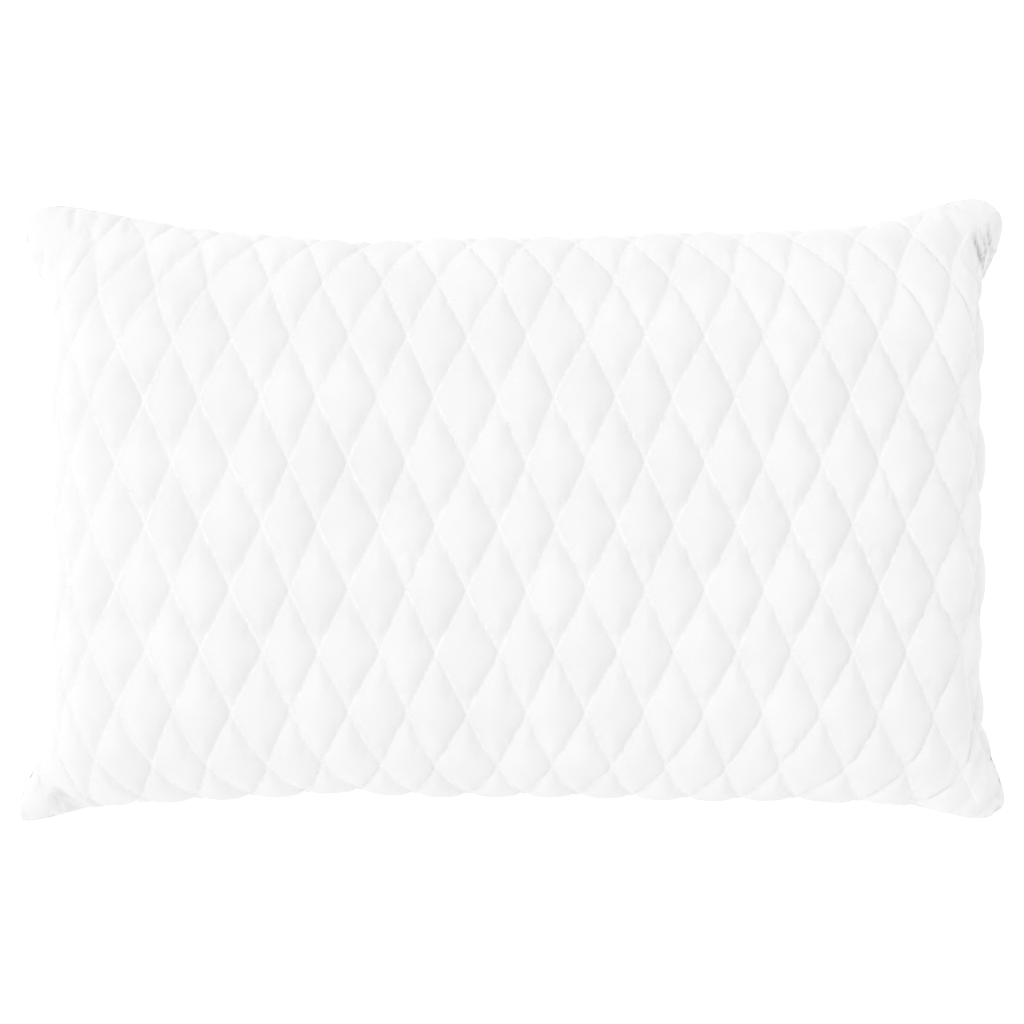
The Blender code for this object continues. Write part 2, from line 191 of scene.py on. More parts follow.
def form(s, t, upper):
    """The panel's own shape, without its quilting."""
    sec_x, sec_y, rise = (TOP_X, TOP_Y, RISE - PUFF) if upper else (LOW_X, LOW_Y, DROP - PUFF)
    # the zip draws the edge back by the depth of its opening
    back = OPENING / sec_x.length * 1.1
    s = s - back * zip_share(t) * smooth((s - 0.85) / 0.15)
    x_mid, hx = sec_x.at(s)
    y_mid, hy = sec_y.at(t)
    x_mid, y_mid = x_mid + SHIFT_X, y_mid + SHIFT_Y
    tip_x = corner(s, t, (1.012, 1.012, 0.996, 1.003)) * TIP_X
    tip_y = corner(s, t, (1.012, 1.020, 0.998, 1.018)) * TIP_Y
    start = corner(s, t, (0.52, 0.50, 0.50, 0.60))
    full = corner(s, t, (0.98, 0.97, 0.93, 0.91))
    flare_x = smooth((np.abs(t) - start) / (full - start)) ** corner(s, t, (1.5, 1.3, 1.1, 1.0))
    rise_y, round_y = corner(s, t, (6.5, 6.0, 3.2, 5.5)), corner(s, t, (1.6, 2.0, 1.6, 2.5))
    flare_y = 1 - (1 - np.abs(s) ** rise_y) ** round_y
    x = x_mid * (1 - flare_x) + tip_x * s * flare_x
    y = y_mid * (1 - flare_y) + tip_y * t * flare_y
    cut = corner(s, t, (3 * MM, 9 * MM, 9 * MM, 9 * MM)) * np.abs(s * t) ** 22
    x = x - np.sign(s) * cut
    y = y - np.sign(t) * cut
    for place, side, width, depth in DENTS:
        near = np.exp(-(((x / MM - place) / width) ** 2)) * smooth(t * side) ** 3
        y = y - side * depth * MM * near
    both = hx + hy - hx * hy
    g = np.where(both > 1e-9, hx * hy / np.maximum(both, 1e-9), 0)
    droop = 9 * MM * (np.abs(x / TIP_X) * np.abs(y / TIP_Y)) ** 6
    z = SEAM - droop + (rise * g if upper else -rise * g)
    return np.stack([x, y, z], -1)


def form_normal(s, t, upper):
    step = 1e-3
    s1, s0 = np.clip(s + step, -1, 1), np.clip(s - step, -1, 1)
    t1, t0 = np.clip(t + step, -1, 1), np.clip(t - step, -1, 1)
    along = form(s1, t, upper) - form(s0, t, upper)
    across = form(s, t1, upper) - form(s, t0, upper)
    normal = np.cross(along, across) * (1 if upper else -1)
    return normal / np.maximum(np.linalg.norm(normal, axis=-1, keepdims=True), 1e-12)


def lattice_to_uv(p, q):
    """Cloth position of the quilting's own coordinates, with the machine's small wander."""
    u = START_U + PITCH_U * p + 0.9 * MM * np.cos(np.pi * p) * np.cos(np.pi * q) ** 2
    v = START_V + PITCH_V * q
    u = u + 0.7 * MM * waves(v, 11, (0.11, 0.19)) + 0.5 * MM * waves(u, 12, (0.13, 0.24))
    v = v + 0.8 * MM * waves(u, 13, (0.12, 0.21)) + 0.8 * MM * waves(v, 14, (0.17, 0.09))
    right, left = smooth((u / HALF_U - 0.5) / 0.38), smooth((-u / HALF_U - 0.6) / 0.3)
    lower = smooth((-v / HALF_V - 0.15) / 0.6)
    low_edge = smooth((-v / HALF_V - 0.5) / 0.25)
    tip = smooth((u / HALF_U - 0.74) / 0.2)
    inner = smooth((u / HALF_U - 0.5) / 0.25)
    drawn = inner * low_edge
    top_edge = smooth((v / HALF_V - 0.62) / 0.26)
    # the lines bend outwards towards the two ears of the +X side, all in mm
    raised = 5 * right * smooth((v / HALF_V - 0.4) / 0.4) + 4.5 * inner * smooth(v / HALF_V / 0.35)
    u_new = u - 3 * MM * left * lower + (14 * drawn + 20 * tip * low_edge) * MM
    u_new = u_new + (12 * inner + 8 * tip) * MM * top_edge
    lowered = (17 * right + 13 * tip) * lower - 2 * drawn + 2 * inner * top_edge
    return u_new, v + (raised - lowered) * MM


def edge_distance(s, t):
    """Cloth distance to the nearest seam, rounded where two seams are near."""
    edge_u, edge_v = HALF_U * (1 - np.abs(s)), HALF_V * (1 - np.abs(t))
    return edge_u, edge_v, edge_u * edge_v / np.maximum(edge_u + edge_v, 1e-9)


# ---------------------------------------------------------------- meshes
def mesh_object(name, points, faces, material, layers=()):
    """A smooth mesh; layers are pairs of numbers for each point, kept as UV maps."""
    mesh = bpy.data.meshes.new(name)
    mesh.from_pydata([tuple(p) for p in points], [], [tuple(f) for f in faces])
    mesh.polygons.foreach_set("use_smooth", [True] * len(mesh.polygons))
    for number, values in enumerate(layers):
        layer = mesh.uv_layers.new(name=f"UVMap{number}")
        index = np.empty(len(mesh.loops), np.int32)
        mesh.loops.foreach_get("vertex_index", index)
        layer.data.foreach_set("uv", np.asarray(values, np.float32)[index].ravel())
    mesh.materials.append(material)
    mesh.update()
    obj = bpy.data.objects.new(name, mesh)
    bpy.context.scene.collection.objects.link(obj)
    return obj


def lattice_mesh(upper):
    """A panel's cloth as a mesh whose edges run along the quilting lines.

    Gives the corners' quilting coordinates and shares of the panel, the faces, and which
    corners lie on a line."""
    reach_p = int(HALF_U / PITCH_U) + 2
    reach_q = int(HALF_V / PITCH_V) + 2
    reach = (reach_p + reach_q) * CELLS
    i, j = np.meshgrid(np.arange(-reach, reach + 1), np.arange(-reach, reach + 1), indexing="ij")
    p, q = (i + j) / (2 * CELLS), (i - j) / (2 * CELLS)
    u, v = lattice_to_uv(p, q)
    inside = (np.abs(u) < HALF_U * 0.9995) & (np.abs(v) < HALF_V * 0.9995)
    keep = inside[:-1, :-1] | inside[1:, :-1] | inside[:-1, 1:] | inside[1:, 1:]
    size = 2 * reach + 1
    a = (i * size + j + reach * size + reach)[:-1, :-1][keep]
    faces = np.stack([a, a + size, a + size + 1, a + 1], 1)
    used, faces = np.unique(faces, return_inverse=True)
    faces = faces.reshape(-1, 4)
    if upper:
        faces = faces[:, ::-1]
    p, q, u, v = (w.ravel()[used] for w in (p, q, u, v))
    i, j = i.ravel()[used], j.ravel()[used]
    on_line = (i % CELLS == 0) | (j % CELLS == 0)
    s, t = np.clip(u / HALF_U, -1, 1), np.clip(v / HALF_V, -1, 1)
    return p, q, s, t, faces, on_line


def puffed(points, faces, hold, slack, reach):
    """The panel's cloth after its wadding has pushed it out between the quilting lines.

    No point travels farther than its own reach."""
    obj = mesh_object("puffing", points, faces, bpy.data.materials.new("puffing"))
    for label, share in (("stitched", hold), ("slack", slack)):
        group = obj.vertex_groups.new(name=label)
        share = np.round(share, 2)
        for weight in np.unique(share):
            group.add(np.nonzero(share == weight)[0].tolist(), float(weight), "REPLACE")
    cloth = obj.modifiers.new("cloth", "CLOTH")
    settings = cloth.settings
    settings.quality = 6
    settings.mass = 0.1
    settings.tension_stiffness = 60
    settings.compression_stiffness = 30
    settings.shear_stiffness = 6
    settings.bending_stiffness = 0.35
    settings.tension_damping = 8
    settings.compression_damping = 8
    settings.shear_damping = 8
    settings.air_damping = 3
    settings.use_pressure = True
    settings.uniform_pressure_force = 5000
    settings.vertex_group_shrink = "slack"
    settings.shrink_min = -0.07
    settings.shrink_max = -0.12
    settings.vertex_group_mass = "stitched"
    settings.effector_weights.gravity = 0
    cloth.collision_settings.use_collision = False
    cloth.collision_settings.use_self_collision = False
    cloth.point_cache.frame_start, cloth.point_cache.frame_end = 1, FRAMES
    scene = bpy.context.scene
    for number in range(1, FRAMES + 1):
        scene.frame_set(number)
    done = obj.evaluated_get(bpy.context.evaluated_depsgraph_get()).data
    result = np.empty(len(points) * 3, np.float32)
    done.vertices.foreach_get("co", result)
    bpy.data.objects.remove(obj, do_unlink=True)
    scene.frame_set(1)
    moved = result.reshape(-1, 3).astype(float) - points
    far = np.linalg.norm(moved, axis=1, keepdims=True)
    return points + moved * np.minimum(1, reach[:, None] / np.maximum(far, 1e-12))


def subdivided(points, faces, layers, sharp):
    """One subdivision that keeps the sharp edges; gives the points, faces, layers, normals."""
    obj = mesh_object("subdividing", points, faces, bpy.data.materials.new("subdividing"), layers)
    mesh = obj.data
    crease = mesh.attributes.new("crease_edge", "FLOAT", "EDGE")
    ends = np.empty(len(mesh.edges) * 2, np.int32)
    mesh.edges.foreach_get("vertices", ends)
    crease.data.foreach_set("value", sharp(ends.reshape(-1, 2)).astype(np.float32))
    level = obj.modifiers.new("level", "SUBSURF")
    level.levels = level.render_levels = 1
    level.boundary_smooth = "ALL"
    level.uv_smooth = "NONE"
    done = obj.evaluated_get(bpy.context.evaluated_depsgraph_get()).to_mesh()
    count = len(done.vertices)
    co = np.empty(count * 3, np.float32)
    done.vertices.foreach_get("co", co)
    normals = np.empty(count * 3, np.float32)
    done.vertices.foreach_get("normal", normals)
    index = np.empty(len(done.loops), np.int32)
    done.loops.foreach_get("vertex_index", index)
    fine = []
    for layer in done.uv_layers:
        flat = np.empty(len(done.loops) * 2, np.float32)
        layer.data.foreach_get("uv", flat)
        values = np.zeros((count, 2))
        values[index] = flat.reshape(-1, 2)
        fine.append(values)
    quads = index.reshape(-1, 4).copy()
    bpy.data.objects.remove(obj, do_unlink=True)
    return co.reshape(-1, 3).astype(float), quads, fine, normals.reshape(-1, 3).astype(float)


def hemmed(points, faces, s, t, depth, lift):
    """Turns the cloth's edge in behind the seam."""
    raw = np.concatenate([faces[:, [k, (k + 1) % 4]] for k in range(4)])
    _, first, count = np.unique(np.sort(raw, 1), axis=0, return_index=True, return_counts=True)
    border = raw[first[count == 1]]
    ids = np.unique(border)
    twin = {int(v): len(points) + k for k, v in enumerate(ids)}
    inner = points[ids].copy()
    inner[:, 0] -= np.where(np.abs(s[ids]) > AT_EDGE, np.sign(s[ids]), 0) * depth
    inner[:, 1] -= np.where(np.abs(t[ids]) > AT_EDGE, np.sign(t[ids]), 0) * depth
    inner[:, 2] += lift
    strip = np.array([(b, a, twin[int(a)], twin[int(b)]) for a, b in border])
    return np.concatenate([points, inner]), np.concatenate([faces, strip]), ids


def plain_share(s, t):
    """1 in the band along the -X seam, where the quilting hardly shows, to 0 away from it."""
    band = PLAIN_FROM + 22 * MM * np.abs(t) ** 3
    return smooth((-s * HALF_U - band) / (44 * MM))


def ear_share(s, t):
    """1 in the ears, where the cloth swells free of its quilting, to 0 away from them."""
    edge_u, edge_v = HALF_U * (1 - np.abs(s)), HALF_V * (1 - np.abs(t))
    away = np.hypot(edge_u, edge_v * 0.9)
    reach = corner(s, t, EAR_FREE)
    return smooth((reach - away) / (9 * MM))


def sewn_share(s, t):
    """How fully the quilting lines show: 1 over most of the panel, 0 in the ears."""
    return (1 - ear_share(s, t)) * (1 - PLAIN_SHARE * plain_share(s, t))


def pucker_relief(a, b, s, t):
    """Small gathers that cross each quilting line, and the line's own pull."""
    height = 0 * s
    free = 1 - ear_share(s, t)
    for across, along, seed in ((a, b, 1.3), (b, a, 4.1)):
        line = np.round(across)
        away = np.abs(across - line) * LINE_GAP
        run = along * DIAMOND_EDGE
        strength = 0.55 + 0.45 * np.sin(run * 88 + line * 2.3 + seed)
        wander = 1.6 * np.sin(run * 150 + line + seed)
        ripple = np.sin(2 * np.pi * run / (5.6 * MM) + line * 1.7 + wander)
        shape = np.exp(-away / (4.2 * MM)) * (1 - np.exp(-away / (0.9 * MM)))
        height = height + PUCKER * strength * ripple * shape * free
    return height


def seam_relief(s, t, upper):
    """Gathers along the seam, fading inwards."""
    edge_u, edge_v, _ = edge_distance(s, t)
    seed = 18 if upper else 64
    drawn = 1 + 0.6 * smooth((s - 0.5) / 0.5)
    height = 0
    for away, along, number in ((edge_v, s * HALF_U, 0), (edge_u, t * HALF_V, 1)):
        ripple = waves(along, seed + number, (6.1 * MM, 8.7 * MM, 13.5 * MM, 21 * MM))
        height = height + GATHER * ripple * np.exp(-away / (9 * MM)) * np.tanh(away / (2.5 * MM))
    return height * drawn


def folded(points):
    """Sinks the creases at the roots of the ears, in the cover, its seam and the inner case alike."""
    sunk = 0
    for x0, y0, x1, y1, depth, steep, gentle in FOLDS:
        start, end = np.array((x0, y0)) * MM, np.array((x1, y1)) * MM
        run = end - start
        length = np.hypot(*run)
        run = run / length
        off = points[:, :2] - start
        along = (off @ run) / length
        side = off @ np.array((-run[1], run[0]))
        width = np.where(side > 0, steep, gentle) * MM
        taper = smooth(along / 0.35 + 0.4) * smooth((1.15 - along) / 0.35)
        sunk = np.maximum(sunk, depth * MM * np.exp(-((side / width) ** 2)) * taper)
    return points - sunk[:, None] * (0, 0, 1)


def add_panel(name, upper, material, nodes):
    """One face of the cover: its cloth, puffed, creased and hemmed. Gives what the stitches need."""
    p, q, s, t, faces, on_line = lattice_mesh(upper)
    base, normals = form(s, t, upper), form_normal(s, t, upper)
    edge = edge_distance(s, t)[2]
    border = (np.abs(s) > AT_EDGE) | (np.abs(t) > AT_EDGE)
    ear = ear_share(s, t)
    zip_hem = (s > 1 - 10 * MM / HALF_U) & (zip_share(t) > 0.2)
    hold = np.where(border | zip_hem, 1.0, on_line * (1 - ear))
    slack = np.exp(-edge / (20 * MM))
    reach = np.minimum(
        TRAVEL - 4 * MM * plain_share(s, t), 0.2 * MM + (0.75 if upper else 0.35) * edge
    )
    points = puffed(base, faces, hold, slack, reach)
    layers = [
        np.stack([s * HALF_U + UV_SPAN / 2, t * HALF_V + UV_SPAN / 2], 1) / UV_SPAN,
        np.stack([p + q, p - q], 1) / LATTICE_SCALE,
    ]
    points, faces, layers, normals = subdivided(
        points, faces, layers, lambda ends: on_line[ends].all(1) | border[ends].all(1)
    )
    uv, lattice = layers[0], layers[1] * LATTICE_SCALE
    s = (uv[:, 0] * UV_SPAN - UV_SPAN / 2) / HALF_U
    t = (uv[:, 1] * UV_SPAN - UV_SPAN / 2) / HALF_V
    relief = pucker_relief(lattice[:, 0], lattice[:, 1], s, t) + seam_relief(s, t, upper)
    points = folded(points + normals * relief[:, None])
    if not upper:
        z = points[:, 2]
        points[:, 2] = np.where(z < REST, REST * np.exp((np.minimum(z, REST) - REST) / REST), z)
    lift = 0.25 * MM * (1 if upper else -1)
    whole, all_faces, ids = hemmed(points, faces, s, t, 4.2 * MM, lift)
    layers = [np.concatenate([layer, layer[ids]]) for layer in layers]
    obj = mesh_object(name, whole, all_faces, material, layers)
    sewn = sewn_share(s, t)
    mark = obj.data.attributes.new("sewn", "FLOAT", "POINT")
    mark.data.foreach_set("value", np.concatenate([sewn, sewn[ids]]).astype(np.float32))
    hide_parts(*nodes)
    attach(obj, "pillow")
    return points, normals, lattice, s, t


def lozenges(centres, runs, ups, length, width, height):
    """Small pointed stitches: six points and eight faces each."""
    sides = np.cross(runs, ups)
    points = np.stack(
        [
            centres - runs * length / 2 - ups * height * 0.7,
            centres + runs * length / 2 - ups * height * 0.7,
            centres - sides * width / 2,
            centres + sides * width / 2,
            centres + ups * height / 2,
            centres - ups * height / 2,
        ],
        1,
    )
    base = np.array(
        [(0, 2, 4), (0, 4, 3), (0, 3, 5), (0, 5, 2), (1, 4, 2), (1, 3, 4), (1, 5, 3), (1, 2, 5)]
    )
    faces = (np.arange(len(centres))[:, None, None] * 6 + base[None]).reshape(-1, 3)
    return points.reshape(-1, 3), faces


def along_path(path, ups, pitch):
    """Even places along a path of points: their centres, directions and up directions."""
    gaps = np.linalg.norm(np.diff(path, axis=0), axis=1)
    arc = np.r_[0, np.cumsum(gaps)]
    at = np.arange(pitch / 2, arc[-1], pitch)
    if len(at) < 2:
        return None
    spots = np.stack([np.interp(at, arc, path[:, k]) for k in range(3)], 1)
    up = np.stack([np.interp(at, arc, ups[:, k]) for k in range(3)], 1)
    run = np.gradient(spots, axis=0)
    run /= np.maximum(np.linalg.norm(run, axis=1, keepdims=True), 1e-12)
    up -= run * np.sum(run * up, 1, keepdims=True)
    up /= np.maximum(np.linalg.norm(up, axis=1, keepdims=True), 1e-12)
    return spots, run, up


def add_stitches(name, paths, pitch, size, sink, material, nodes=()):
    """A row of stitches along each path of (points, ups)."""
    rows = [row for row in (along_path(path, ups, pitch) for path, ups in paths) if row]
    centres, runs, ups = (np.concatenate([row[k] for row in rows]) for k in range(3))
    points, faces = lozenges(centres - ups * sink, runs, ups, *size)
    obj = mesh_object(name, points, faces, material)
    if nodes:
        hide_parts(*nodes)
    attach(obj, "pillow")


def quilting_paths(points, normals, lattice, s, t):
    """The quilting lines of a finished panel, broken where the ears swell free."""
    sewn = (sewn_share(s, t) > 0.5) & (np.abs(s) < 0.988) & (np.abs(t) < 0.982)
    paths = []
    for across, along in ((0, 1), (1, 0)):
        line = np.round(lattice[:, across])
        near = np.nonzero((np.abs(lattice[:, across] - line) < 0.004) & sewn)[0]
        for number in np.unique(line[near]):
            mine = near[line[near] == number]
            mine = mine[np.argsort(lattice[mine, along])]
            if len(mine) > 4:
                paths.append((points[mine], normals[mine]))
    return paths


def seam_points(side, count, low=-1.0, high=1.0, inset=0.0, upper=True):
    """A run of the seam, or of a line inset from it, on the side +x, -x, +y or -y."""
    w = np.linspace(low, high, count)
    if side in ("+x", "-x"):
        s = np.full(count, (1 - inset / HALF_U) * (1 if side == "+x" else -1))
        t = w
    else:
        t = np.full(count, (1 - inset / HALF_V) * (1 if side == "+y" else -1))
        s = w
    return form(s, t, upper), form_normal(s, t, upper)


def seam_paths():
    """The closing seam all round, open along the zip."""
    paths = []
    for side, low, high in (
        ("+y", -1, 1),
        ("-y", -1, 1),
        ("-x", -1, 1),
        ("+x", ZIP_ENDS[1], 1),
        ("+x", -1, ZIP_ENDS[0]),
    ):
        points, _ = seam_points(side, 400, low, high)
        paths.append((folded(points), np.zeros_like(points) + OUTWARD[side]))
    return paths


def zip_hem_paths():
    """Two rows of stitches along each lip of the zip's opening."""
    paths = []
    for upper in (True, False):
        for inset in (1.6 * MM, 7.4 * MM):
            points, normals = seam_points("+x", 300, *ZIP_ENDS, inset, upper)
            s, t = np.full(300, 1 - inset / HALF_U), np.linspace(*ZIP_ENDS, 300)
            paths.append((points + normals * seam_relief(s, t, upper)[:, None], normals))
    return paths


def tube(path, radius, sides):
    """Points and faces of a round tube along a path, closed at both ends."""
    run = np.gradient(path, axis=0)
    run /= np.linalg.norm(run, axis=1, keepdims=True)
    guide = np.array((0.02, 1.0, 0.03))
    first = np.cross(run, guide)
    first /= np.linalg.norm(first, axis=1, keepdims=True)
    second = np.cross(run, first)
    turn = np.arange(sides) * 2 * np.pi / sides
    cosine, sine = np.cos(turn)[None, :, None], np.sin(turn)[None, :, None]
    ring = first[:, None] * cosine + second[:, None] * sine
    points = (path[:, None] + ring * radius).reshape(-1, 3)
    k, m = np.meshgrid(np.arange(len(path) - 1), np.arange(sides), indexing="ij")
    a, b = k * sides + m, k * sides + (m + 1) % sides
    faces = [tuple(f) for f in np.stack([a, b, b + sides, a + sides], -1).reshape(-1, 4)]
    last = (len(path) - 1) * sides
    faces.append(tuple(range(sides))[::-1])
    faces.append(tuple(range(last, last + sides)))
    return points, faces


def add_coil(node, sign, material):
    """One side of the zip's coil: a flattened spiral that meshes with its twin."""
    low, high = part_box(node)
    pitch = 1.5 * MM
    turns = int((high.y - low.y) / pitch)
    angle = np.linspace(0, 2 * np.pi * turns, turns * 12 + 1) + (np.pi if sign < 0 else 0)
    y = np.linspace(low.y + 0.4 * MM, high.y - 0.4 * MM, len(angle))
    x = (low.x + high.x) / 2 + 0.82 * MM * np.sin(angle)
    z = SEAM + sign * (1.22 * MM + 1.25 * MM * np.cos(angle))
    points, faces = tube(np.stack([x, y, z], 1), 0.30 * MM, 6)
    obj = mesh_object(node + "_spiral", points, faces, material)
    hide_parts(node)
    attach(obj, "pillow")


def add_inner_case(material):
    """The filled case inside the cover: what shows of it is seen past the zip."""
    shares = [np.linspace(-1, 1, cells + 1) for cells in CASE_CELLS]
    s, t = np.meshgrid(*shares, indexing="ij")
    halves = []
    for upper in (True, False):
        points = form(s, t, upper).reshape(-1, 3)
        points[:, :2] *= CASE_SHARE[:2]
        points[:, 2] = SEAM + (points[:, 2] - SEAM) * CASE_SHARE[2]
        halves.append(folded(points))
    border = ((np.abs(s) == 1) | (np.abs(t) == 1)).ravel()
    halves[0][border] = (halves[0][border] + halves[1][border]) / 2
    count, row = len(border), CASE_CELLS[1] + 1
    k, m = np.meshgrid(np.arange(CASE_CELLS[0]), np.arange(CASE_CELLS[1]), indexing="ij")
    a = (k * row + m).ravel()
    top_faces = np.stack([a, a + row, a + row + 1, a + 1], 1)
    twin = np.where(border, np.arange(count), np.arange(count) + count)
    faces = np.concatenate([top_faces, twin[top_faces[:, ::-1]]])
    used, faces = np.unique(faces, return_inverse=True)
    obj = mesh_object("inner_case", np.concatenate(halves)[used], faces.reshape(-1, 4), material)
    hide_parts("inner_case_top", "inner_case_bottom", "fibre_fill")
    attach(obj, "pillow")


def add_label(material):
    """The blank care label: a woven strip held in the seam that hangs over the lower panel."""
    width, length = label_high.y - label_low.y, LABEL_LENGTH
    rows, columns = 26, 20
    w = np.linspace(0, 1, rows)[:, None] * np.ones(columns)[None]
    across = np.linspace(0, 1, columns)[None] * np.ones(rows)[:, None]
    y = label_low.y + across * width
    t = y / TIP_Y * 0.98
    drop = w * length
    out = form(-1 + 0 * w, t, False)
    cupped = 0.9 * MM * np.sin(across * 3.0 + 0.4) * w
    x = out[..., 0] - 2.6 * MM - 2.6 * MM * np.sin(w * 1.9) - cupped
    z = out[..., 2] - drop * 0.97
    x = x + 5.5 * MM * np.exp(-w * 9)
    points = np.stack([x, y + 0.8 * MM * w * np.sin(3 * w), z], -1).reshape(-1, 3)
    k, m = np.meshgrid(np.arange(rows - 1), np.arange(columns - 1), indexing="ij")
    a = (k * columns + m).ravel()
    faces = np.stack([a, a + 1, a + columns + 1, a + columns], 1)
    obj = mesh_object("care_label_cloth", points, faces, material)
    thick = obj.modifiers.new("thickness", "SOLIDIFY")
    thick.thickness = 0.35 * MM
    thick.offset = 0
    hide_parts("care_label")
    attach(obj, "pillow")


# ---------------------------------------------------------------- materials
def nodes_of(material):
    material.use_nodes = True
    tree = material.node_tree
    return tree, tree.nodes["Principled BSDF"]


def near_line(tree):
    """The mask of the painted light along the quilting lines: 1 on the lines to 0 beside them, from
    the quilting's own coordinates.
    """
    links, make = tree.links, tree.nodes.new
    lattice = make("ShaderNodeUVMap")
    lattice.uv_map = "UVMap1"
    parts = make("ShaderNodeSeparateXYZ")
    links.new(lattice.outputs["UV"], parts.inputs["Vector"])
    nearest = make("ShaderNodeMath")
    nearest.operation = "MINIMUM"
    for number, axis in enumerate("XY"):
        away = make("ShaderNodeMath")
        away.operation = "PINGPONG"
        away.inputs[1].default_value = 0.5 / LATTICE_SCALE
        links.new(parts.outputs[axis], away.inputs[0])
        links.new(away.outputs[0], nearest.inputs[number])
    share = make("ShaderNodeMapRange")
    share.interpolation_type = "SMOOTHSTEP"
    share.inputs["From Min"].default_value = 0.3 * MM / LINE_GAP / LATTICE_SCALE
    share.inputs["From Max"].default_value = 1.5 * MM / LINE_GAP / LATTICE_SCALE
    share.inputs["To Min"].default_value = 1
    share.inputs["To Max"].default_value = 0
    links.new(nearest.outputs[0], share.inputs["Value"])
    sewn = make("ShaderNodeAttribute")
    sewn.attribute_name = "sewn"
    both = make("ShaderNodeMath")
    both.operation = "MULTIPLY"
    links.new(share.outputs["Result"], both.inputs[0])
    links.new(sewn.outputs["Fac"], both.inputs[1])
    return both.outputs[0]


def knit_material(name, colour, roughness, sheen, scale, bump):
    """White knit: a fine ribbed loop pattern in relief with faint unevenness of shade, and painted
    light along the quilting lines.
    """
    material = bpy.data.materials.new(name)
    tree, shader = nodes_of(material)
    links, make = tree.links, tree.nodes.new
    coords = make("ShaderNodeTexCoord")
    mapping = make("ShaderNodeMapping")
    mapping.inputs["Scale"].default_value = (scale, scale, scale)
    links.new(coords.outputs["Object"], mapping.inputs["Vector"])
    cloud = make("ShaderNodeTexNoise")
    cloud.inputs["Scale"].default_value = 22
    cloud.inputs["Detail"].default_value = 5
    links.new(coords.outputs["Object"], cloud.inputs["Vector"])
    shade = make("ShaderNodeValToRGB")
    dark = tuple(c * 0.955 for c in colour)
    shade.color_ramp.elements[0].position, shade.color_ramp.elements[1].position = 0.3, 0.7
    shade.color_ramp.elements[0].color = (*dark, 1)
    shade.color_ramp.elements[1].color = (*colour, 1)
    links.new(cloud.outputs["Fac"], shade.inputs["Fac"])
    # painted light: the colour is lightened along the quilting lines to stand in for their lit edges
    # and to lift the shade in the grooves
    line_painted_light = make("ShaderNodeMix")
    line_painted_light.data_type = "RGBA"
    line_painted_light.inputs[7].default_value = (*QUILT_LINE_PAINTED_LIGHT, 1)
    links.new(shade.outputs["Color"], line_painted_light.inputs[6])
    links.new(near_line(tree), line_painted_light.inputs[0])
    links.new(line_painted_light.outputs[2], shader.inputs["Base Color"])
    rough = make("ShaderNodeMapRange")
    rough.inputs["To Min"].default_value = roughness - 0.06
    rough.inputs["To Max"].default_value = roughness + 0.06
    links.new(cloud.outputs["Fac"], rough.inputs["Value"])
    links.new(rough.outputs["Result"], shader.inputs["Roughness"])
    loops = make("ShaderNodeTexVoronoi")
    loops.inputs["Scale"].default_value = 1.0
    links.new(mapping.outputs["Vector"], loops.inputs["Vector"])
    fuzz = make("ShaderNodeTexNoise")
    fuzz.inputs["Scale"].default_value = 900
    fuzz.inputs["Detail"].default_value = 3
    links.new(coords.outputs["Object"], fuzz.inputs["Vector"])
    mix = make("ShaderNodeMath")
    mix.operation = "ADD"
    links.new(loops.outputs["Distance"], mix.inputs[0])
    links.new(fuzz.outputs["Fac"], mix.inputs[1])
    relief = make("ShaderNodeBump")
    relief.inputs["Strength"].default_value = bump
    relief.inputs["Distance"].default_value = 0.25 * MM
    links.new(mix.outputs[0], relief.inputs["Height"])
    links.new(relief.outputs["Normal"], shader.inputs["Normal"])
    shader.inputs["Sheen Weight"].default_value = sheen
    shader.inputs["Sheen Roughness"].default_value = 0.5
    shader.inputs["Specular IOR Level"].default_value = 0.25
    return material


def plain_material(name, colour, roughness, metallic, grain, bump, sheen=0.0):
    """Plastic, metal, thread or tape: a fine grain in relief and in roughness."""
    material = bpy.data.materials.new(name)
    tree, shader = nodes_of(material)
    links, make = tree.links, tree.nodes.new
    coords = make("ShaderNodeTexCoord")
    noise = make("ShaderNodeTexNoise")
    noise.inputs["Scale"].default_value = grain
    noise.inputs["Detail"].default_value = 4
    links.new(coords.outputs["Object"], noise.inputs["Vector"])
    ramp = make("ShaderNodeValToRGB")
    ramp.color_ramp.elements[0].position, ramp.color_ramp.elements[1].position = 0.25, 0.75
    ramp.color_ramp.elements[0].color = (*(c * 0.9 for c in colour), 1)
    ramp.color_ramp.elements[1].color = (*colour, 1)
    links.new(noise.outputs["Fac"], ramp.inputs["Fac"])
    links.new(ramp.outputs["Color"], shader.inputs["Base Color"])
    rough = make("ShaderNodeMapRange")
    rough.inputs["To Min"].default_value = max(roughness - 0.08, 0.02)
    rough.inputs["To Max"].default_value = roughness + 0.08
    links.new(noise.outputs["Fac"], rough.inputs["Value"])
    links.new(rough.outputs["Result"], shader.inputs["Roughness"])
    relief = make("ShaderNodeBump")
    relief.inputs["Strength"].default_value = bump
    relief.inputs["Distance"].default_value = 0.1 * MM
    links.new(noise.outputs["Fac"], relief.inputs["Height"])
    links.new(relief.outputs["Normal"], shader.inputs["Normal"])
    shader.inputs["Metallic"].default_value = metallic
    shader.inputs["Sheen Weight"].default_value = sheen
    return material


